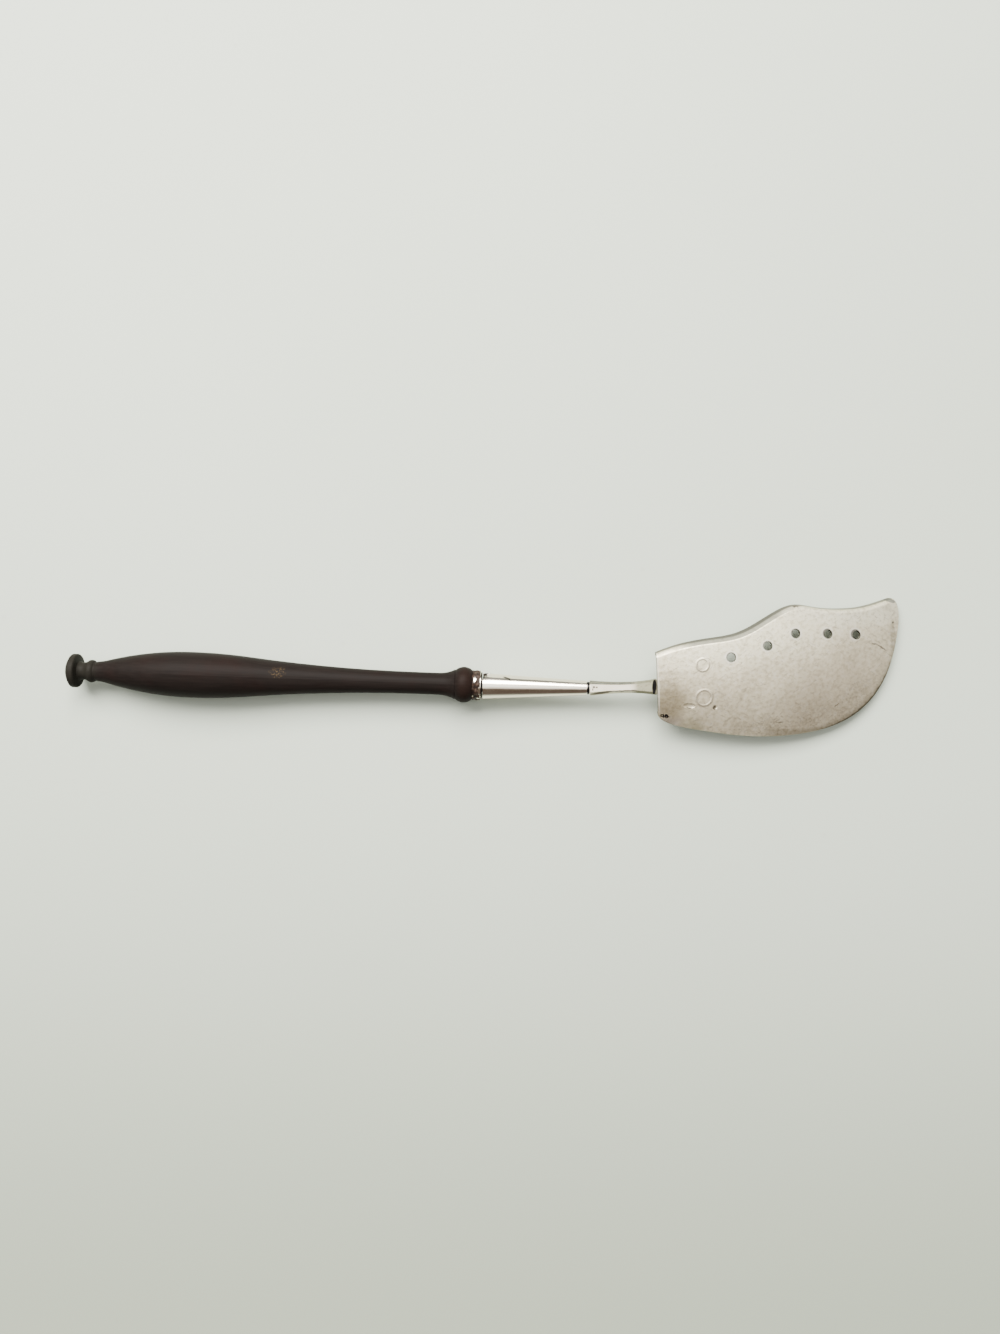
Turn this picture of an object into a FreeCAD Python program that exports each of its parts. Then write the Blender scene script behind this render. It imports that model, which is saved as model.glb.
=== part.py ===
import FreeCAD, Part
import math
import os
import Sketcher

# Sardine server, in millimetres.
# It lies on a table with the back of its blade up. +X runs from the handle's knob to the tip
# of the blade, +Z is up, and the origin is on the table under the middle of the whole server.

# Sizes of the turned handle. A length is the step to the next place along the handle, and the
# diameter beside it is the handle's diameter there.
HANDLE_SIZES = [
    ("knob_dome_length", 1.25),
    ("knob_face_diameter", 7.7),
    ("knob_roll_length", 0.4),
    ("knob_roll_radius", 0.5),
    ("knob_diameter", 8.25),
    ("knob_band_length", 0.8),
    ("knob_back_diameter", 7.5),
    ("knob_back_length", 0.25),
    ("neck_diameter", 4.8),
    ("neck_length", 2.1),
    ("neck_radius", 2.0),
    ("neck_bead_length", 1.7),
    ("neck_bead_radius", 1.15),
    ("groove_length", 0.6),
    ("groove_radius", 0.5),
    ("root_diameter", 5.9),
    ("root_length", 2.9),
    ("root_radius", 16.0),
    ("swell_rise_length", 20.1),
    ("swell_rise_radius", 77.5),
    ("swell_diameter", 11.2),
    ("swell_fall_length", 14.0),
    ("swell_fall_radius", 132.0),
    ("waist_entry_diameter", 9.72),
    ("waist_entry_length", 40.8),
    ("waist_entry_radius", 386.0),
    ("waist_diameter", 5.38),
    ("waist_length", 5.6),
    ("cove_length", 3.8),
    ("cove_radius", 8.15),
    ("cove_diameter", 7.26),
    ("step_length", 0.15),
    ("bead_foot_diameter", 7.1),
    ("collar_bead_length", 4.15),
    ("collar_bead_radius", 2.98),
    ("seat_length", 2.4),
    ("seat_diameter", 6.3),
    ("tenon_length", 14.0),
    ("tenon_diameter", 3.2),
]

# Sizes of the silver band left on the handle and of the glue smeared over it.
BAND_SIZES = [
    ("band_length", 1.98),
    ("band_wall", 0.3),
    ("band_setback", 0.1),
    ("glue_coat", 0.12),
    ("glue_setback", 0.3),
    ("glue_length", 1.75),
    ("bare_patch_width", 1.3),
    ("bare_patch_length", 0.7),
    ("bare_corner_width", 2.6),
    ("bare_corner_length", 0.95),
]

# Sizes of the tapering silver socket.
CONE_SIZES = [
    ("crack_width", 0.22),
    ("cone_length", 25.3),
    ("cone_foot_diameter", 6.35),
    ("cone_end_diameter", 3.5),
    ("cone_wall", 0.45),
    ("cone_bend", 0.93),
    ("cone_side", -0.17),
    ("tear_length", 1.8),
    ("tear_side", 2.25),
    ("tear_step", 0.9),
    ("cement_setback", 0.6),
    ("cement_end_gap", 5.7),
]

# Sizes of the stem. The bend and the rise are degrees away from the handle's axis.
STEM_SIZES = [
    ("stem_bend", 3.27),
    ("stem_rise", 3.8),
    ("spigot_diameter", 2.0),
    ("spigot_length", 8.0),
    ("neck_gap", 0.14),
    ("neck_ring_diameter", 3.1),
    ("neck_ring_length", 0.72),
    ("shank_length", 16.0),
    ("shank_start_width", 3.7),
    ("shank_start_height", 3.3),
    ("shank_waist_at", 8.5),
    ("shank_waist_width", 2.7),
    ("shank_waist_height", 2.5),
    ("shank_flare_at", 12.3),
    ("shank_flare_width", 3.0),
    ("shank_flare_height", 2.35),
    ("shank_end_width", 3.95),
    ("shank_end_height", 2.2),
    ("facet_share", 0.27),
    ("hollow_depth", 0.75),
    ("hollow_width", 3.3),
    ("hollow_floor", 0.45),
    ("tongue_length", 6.5),
    ("tongue_width", 3.5),
    ("tongue_underside", 1.1),
]

# Sizes of the blade, from the middle of the stem's end: along, across and up.
BLADE_SIZES = [
    ("heel_gap", 0.1),
    ("sheet_thickness", 0.9),
    ("crown_along", 10.0),
    ("crown_side", 13.9),
    ("crown_rise", 3.4),
    ("long_radius", 172.0),
    ("cross_radius", 78.0),
    ("form_reach", 42.0),
    ("form_headroom", 14.0),
    ("form_depth", 10.0),
    ("form_side", 22.0),
    ("shoulder_radius", 1.25),
    ("flange_wall", 0.93),
    ("flange_lean", 10.0),
    ("rim_start_depth", 1.9),
    ("rim_straight", 37.0),
    ("rim_straight_depth", 2.58),
    ("rim_curve_length", 9.0),
    ("rim_curve_radius", 33.0),
    ("rim_curve_depth", 2.17),
    ("rim_end_depth", 1.38),
    ("rim_cut_side", 2.6),
    ("rim_cut_turn", 15.4),
    ("heel_upper_along", 0.95),
    ("heel_upper_side", 9.5),
    ("outline_margin", 9.0),
    ("hole_diameter", 2.25),
    ("mark_depth", 0.14),
    ("edge_round", 0.2),
]

# The turned-down edge in plan: control points of one smooth curve, as distances along the
# blade from its heel and to the side of the stem.
FLANGE_CURVE = [
    (-4.0, 7.1),
    (-0.4, 8.7),
    (4.3, 10.9),
    (13.5, 12.6),
    (20.7, 13.65),
    (31.6, 22.35),
    (37.4, 20.2),
    (49.0, 20.3),
    (54.4, 21.95),
    (63.5, 24.8),
    (64.5, 25.7),
]

# The rest of the outline in plan, from the tip round the nose and the belly to the heel.
BELLY_CURVE = [
    (56.2, 24.75),
    (60.7, 24.4),
    (59.8, 14.3),
    (57.2, 2.3),
    (49.1, -7.0),
    (36.5, -10.7),
    (23.6, -11.6),
    (12.3, -10.4),
    (-0.2, -8.8),
    (0.5, -5.6),
]

# The five drilled holes, along the blade and to the side.
HOLES = [
    (17.3, 7.65),
    (26.1, 10.8),
    (32.9, 14.0),
    (41.1, 14.25),
    (48.5, 14.4),
]

# Where the middle of the whole server lies: from the knob's end and from the handle's axis.
FRAME_SIZES = [
    ("middle_from_knob", 101.93),
    ("middle_from_axis", 7.675),
]

# Blank punch marks on the blade's back: along, to the side, and the size along and across.
MARKS = [
    (11.3, 5.9, 3.0, 3.0),
    (11.8, -2.1, 3.7, 3.7),
    (7.9, -4.3, 3.1, 1.4),
    (14.3, -4.4, 1.0, 1.2),
]

# Places that follow from the sizes.
PLACES = [
    ("cement_length", "cone_length - cement_setback - cement_end_gap"),
    ("seat_at", "knob_dome_length + knob_roll_length + knob_band_length + knob_roll_length"
                " + knob_back_length + neck_length + neck_bead_length + groove_length"
                " + root_length + swell_rise_length + swell_fall_length + waist_entry_length"
                " + waist_length + cove_length + step_length + collar_bead_length"),
    ("cone_at", "seat_at + seat_length + crack_width"),
    ("cone_end_x", "cone_at + cone_length * cos(cone_bend)"),
    ("cone_end_y", "cone_side + cone_length * sin(cone_bend)"),
    ("stem_length", "neck_ring_length + shank_length"),
    ("stem_end_x", "cone_end_x + neck_gap + stem_length * cos(stem_bend)"),
    ("stem_end_y", "cone_end_y + stem_length * sin(stem_bend)"),
    ("stem_end_z", "stem_length * tan(stem_rise)"),
    ("heel_at", "stem_end_x + heel_gap"),
    ("axis_height", "swell_diameter / 2"),
    ("rim_start_z", "crown_rise - rim_start_depth"),
    ("rim_straight_z", "crown_rise - (rim_straight - crown_along) ^ 2 / (2 * long_radius)"
                       " - rim_straight_depth"),
    ("rim_curve_z", "crown_rise - (rim_straight + rim_curve_length - crown_along) ^ 2"
                    " / (2 * long_radius) - rim_curve_depth"),
    ("rim_end_along", "flange_point_10_along + outline_margin"),
    ("rim_end_z", "crown_rise - (rim_end_along - crown_along) ^ 2 / (2 * long_radius)"
                  " - rim_end_depth"),
]

doc = FreeCAD.newDocument("sardine_server")
vector = FreeCAD.Vector
size = doc.addObject("Spreadsheet::Sheet", "Size")
row_count = 0


def add_size(alias, value):
    """Writes one size into the sheet, with its name beside it."""
    global row_count
    row_count += 1
    size.set("A%d" % row_count, alias)
    size.set("B%d" % row_count, str(value))
    size.setAlias("B%d" % row_count, alias)


def number(alias):
    """Reads one size back from the sheet."""
    return float(size.get(alias))


def fill_sheet():
    """Fills the sheet with every driving size, then with the places that follow."""
    for group in (HANDLE_SIZES, BAND_SIZES, CONE_SIZES, STEM_SIZES, BLADE_SIZES, FRAME_SIZES):
        for alias, value in group:
            add_size(alias, value)
    for label, points in (("flange", FLANGE_CURVE), ("belly", BELLY_CURVE), ("hole", HOLES)):
        for order, (along, side) in enumerate(points):
            add_size("%s_point_%d_along" % (label, order), along)
            add_size("%s_point_%d_side" % (label, order), side)
    for order, (along, side, length, width) in enumerate(MARKS):
        add_size("mark_%d_along" % order, along)
        add_size("mark_%d_side" % order, side)
        add_size("mark_%d_length" % order, length)
        add_size("mark_%d_width" % order, width)
    for alias, formula in PLACES:
        add_size(alias, "=" + formula)
    doc.recompute()


def new_body(name):
    """Adds an empty body."""
    body = doc.addObject("PartDesign::Body", name)
    body.Label = name
    return body


def origin_plane(body, role):
    """Finds one of the body's own origin planes."""
    return next(part for part in body.Origin.OriginFeatures if part.Role == role)


def new_sketch(body, name, role, offset=None):
    """Adds a sketch on an origin plane, moved off it by a formula."""
    sketch = body.newObject("Sketcher::SketchObject", name)
    sketch.AttachmentSupport = [(origin_plane(body, role), "")]
    sketch.MapMode = "FlatFace"
    if offset:
        sketch.setExpression("AttachmentOffset.Base.z", offset)
        doc.recompute()
    return sketch


def dimension(sketch, kind, where, formula, value):
    """Adds a dimension that follows a formula of the sizes."""
    index = sketch.addConstraint(Sketcher.Constraint(kind, *where, value))
    sketch.setExpression("Constraints[%d]" % index, formula)


def join(sketch, first, second):
    """Makes two vertices one."""
    sketch.addConstraint(Sketcher.Constraint("Coincident", *first, *second))


def add_line(sketch, start, end):
    """Adds a straight edge and gives its start and end vertices."""
    edge = sketch.addGeometry(Part.LineSegment(start, end), False)
    return (edge, 1), (edge, 2)


def add_arc(sketch, start, end, radius, bulge_left):
    """Adds a round edge that bulges to one side of its travel, and gives its two vertices."""
    chord = end - start
    across = vector(-chord.y, chord.x, 0) / chord.Length
    depth = math.sqrt(max(radius ** 2 - chord.Length ** 2 / 4, 0))
    centre = (start + end) / 2 + across * (-depth if bulge_left else depth)
    first, last = (end, start) if bulge_left else (start, end)
    first_angle = math.atan2(first.y - centre.y, first.x - centre.x)
    last_angle = math.atan2(last.y - centre.y, last.x - centre.x)
    if last_angle < first_angle:
        last_angle += 2 * math.pi
    circle = Part.Circle(centre, vector(0, 0, 1), radius)
    edge = sketch.addGeometry(Part.ArcOfCircle(circle, first_angle, last_angle), False)
    return ((edge, 2), (edge, 1)) if bulge_left else ((edge, 1), (edge, 2))


def turned_sketch(body, name, steps, first_diameter=None, first_at=None):
    """Draws half of a turned profile above the axis.

    Each step is a length, the diameter it ends at, and for a round edge its radius and
    whether it swells out or dips in. A dome is part of a ball centred on the axis. A step
    with no length goes straight up or down.
    """
    sketch = new_sketch(body, name, "XZ_Plane")
    here = vector(number(first_at) if first_at else 0, 0, 0)
    foot, last = None, None
    if first_diameter:
        up = here + vector(0, number(first_diameter) / 2, 0)
        foot, last = add_line(sketch, here, up)
        sketch.addConstraint(Sketcher.Constraint("Vertical", foot[0]))
        dimension(sketch, "DistanceY", (-1, 1) + last, "Size.%s / 2" % first_diameter, up.y)
        here = up
    for length, diameter, radius, shape in steps:
        there = vector(here.x, number(diameter) / 2, 0)
        if length:
            there.x += number(length)
        if shape == "dome":
            ball = (number(length) ** 2 + there.y ** 2) / (2 * number(length))
            start, end = add_arc(sketch, here, there, ball, True)
            sketch.addConstraint(Sketcher.Constraint("PointOnObject", start[0], 3, -1))
        elif radius:
            start, end = add_arc(sketch, here, there, number(radius), shape == "out")
            dimension(sketch, "Radius", (start[0],), "Size." + radius, number(radius))
        else:
            start, end = add_line(sketch, here, there)
        if last:
            join(sketch, last, start)
        else:
            foot = start
        if length:
            dimension(sketch, "DistanceX", start + end, "Size." + length, number(length))
        else:
            sketch.addConstraint(Sketcher.Constraint("Vertical", start[0]))
        dimension(sketch, "DistanceY", (-1, 1) + end, "Size.%s / 2" % diameter, there.y)
        here, last = there, end
    if first_at:
        dimension(sketch, "DistanceX", (-1, 1) + foot, "Size." + first_at, number(first_at))
        sketch.addConstraint(Sketcher.Constraint("PointOnObject", *foot, -1))
    else:
        join(sketch, foot, (-1, 1))
    down_start, down_end = add_line(sketch, here, vector(here.x, 0, 0))
    join(sketch, last, down_start)
    sketch.addConstraint(Sketcher.Constraint("Vertical", down_start[0]))
    sketch.addConstraint(Sketcher.Constraint("PointOnObject", *down_end, -1))
    back_start, back_end = add_line(sketch, vector(here.x, 0, 0), vector(0, 0, 0))
    join(sketch, down_end, back_start)
    join(sketch, back_end, foot)
    return sketch


def turn(body, name, sketch, kind="PartDesign::Revolution"):
    """Turns a profile about the body's long axis, as solid or as a cut."""
    feature = body.newObject(kind, name)
    feature.Profile = sketch
    feature.ReferenceAxis = (sketch, ["H_Axis"])
    feature.Angle = 360
    doc.recompute()
    return feature


def place(part, along="0", side="0", up="0", yaw="0", pitch="0"):
    """Sets a sub-part into the server: formulas from the knob's end and the handle's axis."""
    part.setExpression("Placement", (
        "create(<<placement>>; create(<<vector>>; %s - Size.middle_from_knob;"
        " %s - Size.middle_from_axis; %s + Size.axis_height);"
        " create(<<rotation>>; %s; %s; 0))") % (along, side, up, yaw, pitch))


def polygon(sketch, corners):
    """Draws a closed outline. Each corner is a pair of formulas with their values."""
    points = [vector(x_value, y_value, 0) for _, x_value, _, y_value in corners]
    ends = []
    for order, point in enumerate(points):
        ends.append(add_line(sketch, point, points[(order + 1) % len(points)]))
    for order, (x_formula, x_value, y_formula, y_value) in enumerate(corners):
        start = ends[order][0]
        join(sketch, ends[order - 1][1], start)
        dimension(sketch, "DistanceX", (-1, 1) + start, x_formula, x_value)
        dimension(sketch, "DistanceY", (-1, 1) + start, y_formula, y_value)


def corner(along, side, along_sign=1, side_sign=1, along_extra=None):
    """Makes one polygon corner from the names of its two sizes."""
    x_formula = "%d * Size.%s" % (along_sign, along) if along else "0"
    x_value = along_sign * number(along) if along else 0
    if along_extra:
        x_formula += " + Size.%s" % along_extra
        x_value += number(along_extra)
    y_formula = "%d * Size.%s" % (side_sign, side) if side else "0"
    y_value = side_sign * number(side) if side else 0
    return x_formula, x_value, y_formula, y_value


# Wooden handle
def make_handle():
    """Turns the handle in one piece: knob, swell, waist, collar, ferrule seat and tenon."""
    body = new_body("wooden_handle")
    profile = turned_sketch(body, "handle_profile", [
        ("knob_dome_length", "knob_face_diameter", None, "dome"),
        ("knob_roll_length", "knob_diameter", "knob_roll_radius", "out"),
        ("knob_band_length", "knob_diameter", None, None),
        ("knob_roll_length", "knob_back_diameter", "knob_roll_radius", "out"),
        ("knob_back_length", "neck_diameter", None, None),
        ("neck_length", "neck_diameter", "neck_radius", "in"),
        ("neck_bead_length", "neck_diameter", "neck_bead_radius", "out"),
        ("groove_length", "neck_diameter", "groove_radius", "in"),
        ("root_length", "root_diameter", "root_radius", "in"),
        ("swell_rise_length", "swell_diameter", "swell_rise_radius", "out"),
        ("swell_fall_length", "waist_entry_diameter", "swell_fall_radius", "out"),
        ("waist_entry_length", "waist_diameter", "waist_entry_radius", "in"),
        ("waist_length", "waist_diameter", None, None),
        ("cove_length", "cove_diameter", "cove_radius", "in"),
        ("step_length", "bead_foot_diameter", None, None),
        ("collar_bead_length", "bead_foot_diameter", "collar_bead_radius", "out"),
        (None, "seat_diameter", None, None),
        ("seat_length", "seat_diameter", None, None),
        (None, "tenon_diameter", None, None),
        ("tenon_length", "tenon_diameter", None, None),
    ])
    turn(body, "turned_handle", profile)
    place(body)
    return body


# Silver band left on the handle
def make_band():
    """Makes the foot of the ferrule, which broke off and stayed on its seat."""
    body = new_body("ferrule_base_ring")
    section = new_sketch(body, "band_section", "YZ_Plane")
    bore = number("seat_diameter") / 2
    for formula, radius in (("Size.seat_diameter / 2", bore),
                            ("Size.seat_diameter / 2 + Size.band_wall",
                             bore + number("band_wall"))):
        circle = section.addGeometry(
            Part.Circle(vector(0, 0, 0), vector(0, 0, 1), radius), False)
        join(section, (circle, 3), (-1, 1))
        dimension(section, "Radius", (circle,), formula, radius)
    band = body.newObject("PartDesign::Pad", "band")
    band.Profile = section
    band.setExpression("Length", "Size.band_length")
    place(body, "Size.seat_at + Size.band_setback")
    return body


# Old glue
def make_glue():
    """Makes the crust of old glue over the band, with two bare places on its upper side."""
    body = new_body("old_glue")
    section = new_sketch(body, "crust_section", "YZ_Plane")
    band = number("seat_diameter") / 2 + number("band_wall")
    for formula, radius in (("Size.seat_diameter / 2 + Size.band_wall", band),
                            ("Size.seat_diameter / 2 + Size.band_wall + Size.glue_coat",
                             band + number("glue_coat"))):
        circle = section.addGeometry(
            Part.Circle(vector(0, 0, 0), vector(0, 0, 1), radius), False)
        join(section, (circle, 3), (-1, 1))
        dimension(section, "Radius", (circle,), formula, radius)
    crust = body.newObject("PartDesign::Pad", "crust")
    crust.Profile = section
    crust.setExpression("Length", "Size.glue_length")
    doc.recompute()
    for name, corners in (
        ("bare_patch", [
            corner(None, None),
            corner("bare_patch_length", None),
            corner("bare_patch_length", "bare_patch_width"),
            corner(None, "bare_patch_width"),
        ]),
        ("bare_corner", [
            corner("glue_length", None),
            corner("glue_length", "bare_corner_width", side_sign=-1),
            corner("bare_corner_length", None, -1, along_extra="glue_length"),
        ]),
    ):
        outline = new_sketch(body, name + "_outline", "XY_Plane")
        polygon(outline, corners)
        cut = body.newObject("PartDesign::Pocket", name)
        cut.Profile = outline
        cut.Type = "ThroughAll"
        cut.Reversed = True
        doc.recompute()
    place(body, "Size.seat_at + Size.glue_setback")
    return body


# Silver cone
def make_cone():
    """Makes the tapering socket, open at both ends, with a tear at its foot."""
    body = new_body("ferrule_cone")
    outside = turned_sketch(body, "cone_outside", [
        ("cone_length", "cone_end_diameter", None, None),
    ], first_diameter="cone_foot_diameter")
    turn(body, "cone_blank", outside)
    inside = new_sketch(body, "cone_inside", "XZ_Plane")
    length = number("cone_length")
    foot = number("cone_foot_diameter") / 2 - number("cone_wall")
    end = number("cone_end_diameter") / 2 - number("cone_wall")
    polygon(inside, [
        ("0", 0, "0", 0),
        ("Size.cone_length", length, "0", 0),
        ("Size.cone_length", length, "Size.cone_end_diameter / 2 - Size.cone_wall", end),
        ("0", 0, "Size.cone_foot_diameter / 2 - Size.cone_wall", foot),
    ])
    turn(body, "cone_bore", inside, "PartDesign::Groove")
    tear = new_sketch(body, "tear_outline", "XY_Plane")
    half = number("cone_foot_diameter") / 2
    side = number("tear_side")
    polygon(tear, [
        ("0", 0, "Size.tear_side", side),
        ("Size.tear_length * 0.3", number("tear_length") * 0.3,
         "Size.tear_side + Size.tear_step * 0.3", side + number("tear_step") * 0.3),
        ("Size.tear_length * 0.45", number("tear_length") * 0.45,
         "Size.tear_side + Size.tear_step * 0.1", side + number("tear_step") * 0.1),
        ("Size.tear_length", number("tear_length"),
         "Size.tear_side + Size.tear_step", side + number("tear_step")),
        ("0", 0, "Size.cone_foot_diameter / 2 + Size.tear_step", half + number("tear_step")),
    ])
    cut = body.newObject("PartDesign::Pocket", "tear")
    cut.Profile = tear
    cut.Type = "ThroughAll"
    cut.Reversed = True
    doc.recompute()
    place(body, "Size.cone_at", "Size.cone_side", yaw="Size.cone_bend")
    return body


# Stem
def shank_section(body, name, at, width, height):
    """Draws the stem's section at one place: a rectangle with its corners taken off."""
    sketch = new_sketch(body, name, "YZ_Plane", at[0])
    half_width = number(width) / 2
    half_height = number(height) / 2
    cut = number("facet_share") * number(height)
    corners = [
        (half_width, half_height - cut), (half_width - cut, half_height),
        (cut - half_width, half_height), (-half_width, half_height - cut),
        (-half_width, cut - half_height), (cut - half_width, -half_height),
        (half_width - cut, -half_height), (half_width, cut - half_height),
    ]
    wide = "Size.%s / 2" % width
    tall = "Size.%s / 2" % height
    bevel = "Size.facet_share * Size.%s" % height
    formulas = [
        (wide, tall + " - " + bevel), (wide + " - " + bevel, tall),
        (bevel + " - " + wide, tall), ("-" + wide, tall + " - " + bevel),
        ("-" + wide, bevel + " - " + tall), (bevel + " - " + wide, "-" + tall),
        (wide + " - " + bevel, "-" + tall), (wide, bevel + " - " + tall),
    ]
    polygon(sketch, [(side_formula, side, up_formula, up)
                     for (side, up), (side_formula, up_formula) in zip(corners, formulas)])
    return sketch


def make_shank():
    """Makes spigot, neck ring and faceted shank, with the hollow filed in its flared end."""
    body = new_body("stem_shank")
    round_part = new_sketch(body, "spigot_profile", "XZ_Plane")
    spigot = number("spigot_diameter") / 2
    ring = number("neck_ring_diameter") / 2
    inner_end = -number("spigot_length")
    outer_end = number("neck_ring_length")
    polygon(round_part, [
        ("-Size.spigot_length", inner_end, "0", 0),
        ("Size.neck_ring_length", outer_end, "0", 0),
        ("Size.neck_ring_length", outer_end, "Size.neck_ring_diameter / 2", ring),
        ("0", 0, "Size.neck_ring_diameter / 2", ring),
        ("0", 0, "Size.spigot_diameter / 2", spigot),
        ("-Size.spigot_length", inner_end, "Size.spigot_diameter / 2", spigot),
    ])
    turn(body, "spigot_and_ring", round_part)
    start = ("Size.neck_ring_length", "shank_start_width", "shank_start_height")
    waist = ("Size.neck_ring_length + Size.shank_waist_at", "shank_waist_width",
             "shank_waist_height")
    flare = ("Size.neck_ring_length + Size.shank_flare_at", "shank_flare_width",
             "shank_flare_height")
    end = ("Size.neck_ring_length + Size.shank_length", "shank_end_width", "shank_end_height")
    sections = []
    for name, (at, width, height) in (("start", start), ("waist", waist), ("flare", flare),
                                      ("end", end)):
        sections.append(shank_section(body, "shank_" + name, (at,), width, height))
    shank = body.newObject("PartDesign::AdditiveLoft", "shank")
    shank.Profile = sections[0]
    shank.Sections = sections[1:]
    doc.recompute()
    hollow = new_sketch(body, "hollow_outline", "XY_Plane", "-Size.hollow_floor")
    depth = number("hollow_depth")
    half = number("hollow_width") / 2
    stem_end = number("neck_ring_length") + number("shank_length")
    radius = (half ** 2 + depth ** 2) / (2 * depth)
    circle = hollow.addGeometry(
        Part.Circle(vector(stem_end - depth + radius, 0, 0), vector(0, 0, 1), radius), False)
    radius_formula = ("(Size.hollow_width ^ 2 / 4 + Size.hollow_depth ^ 2)"
                      " / (2 * Size.hollow_depth)")
    dimension(hollow, "Radius", (circle,), radius_formula, radius)
    dimension(hollow, "DistanceX", (-1, 1, circle, 3),
              "Size.stem_length - Size.hollow_depth + " + radius_formula,
              stem_end - depth + radius)
    hollow.addConstraint(Sketcher.Constraint("PointOnObject", circle, 3, -1))
    cut = body.newObject("PartDesign::Pocket", "hollow")
    cut.Profile = hollow
    cut.Type = "ThroughAll"
    cut.Reversed = True
    doc.recompute()
    place(body, "Size.cone_end_x + Size.neck_gap", "Size.cone_end_y",
          yaw="Size.stem_bend", pitch="-Size.stem_rise")
    return body


# Blade
def flange_spline(sketch, inset):
    """Draws the long edge that is turned down, moved in by the wall of the sheet."""
    shift = number("flange_wall") if inset else 0
    points = [vector(along, side - shift, 0) for along, side in FLANGE_CURVE]
    curve = Part.BSplineCurve(points, None, None, False, 3, None, False)
    edge = sketch.addGeometry(curve, False)
    sketch.exposeInternalGeometry(edge)
    for order, point in enumerate(points):
        knob = (edge + 1 + order, 3)
        side = "Size.flange_point_%d_side" % order
        if inset:
            side += " - Size.flange_wall"
        dimension(sketch, "DistanceX", (-1, 1) + knob,
                  "Size.flange_point_%d_along" % order, point.x)
        dimension(sketch, "DistanceY", (-1, 1) + knob, side, point.y)
    return edge, points


def make_punches():
    """Makes the blank punches that mark the back of the sheet, square to its surface."""
    body = new_body("punches")
    for order, (_, _, length, width) in enumerate(MARKS):
        oval = length != width
        kind = "PartDesign::AdditiveEllipsoid" if oval else "PartDesign::AdditiveCylinder"
        mark = body.newObject(kind, "blank_mark_%d" % (order + 1))
        mark.AttachmentSupport = [(origin_plane(body, "XY_Plane"), "")]
        mark.MapMode = "FlatFace"
        along = "Size.mark_%d_along" % order
        side = "Size.mark_%d_side" % order
        up = ("Size.crown_rise - (%s - Size.crown_along) ^ 2 / (2 * Size.long_radius)"
              " - (%s - Size.crown_side) ^ 2 / (2 * Size.cross_radius)") % (along, side)
        if oval:
            mark.setExpression("Radius1", "Size.mark_depth")
            mark.setExpression("Radius2", "Size.mark_%d_length / 2" % order)
            mark.setExpression("Radius3", "Size.mark_%d_width / 2" % order)
        else:
            up += " - Size.mark_depth"
            mark.setExpression("Radius", "Size.mark_%d_width / 2" % order)
            mark.setExpression("Height", "Size.sheet_thickness")
        mark.setExpression("AttachmentOffset", (
            "create(<<placement>>; create(<<vector>>; %s; %s; %s); create(<<rotation>>; 0;"
            " asin((%s - Size.crown_along) / Size.long_radius);"
            " asin((Size.crown_side - %s) / Size.cross_radius)))")
            % (along, side, up, along, side))
        doc.recompute()
    place(body, "Size.heel_at", "Size.stem_end_y", "Size.stem_end_z")
    return body


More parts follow.
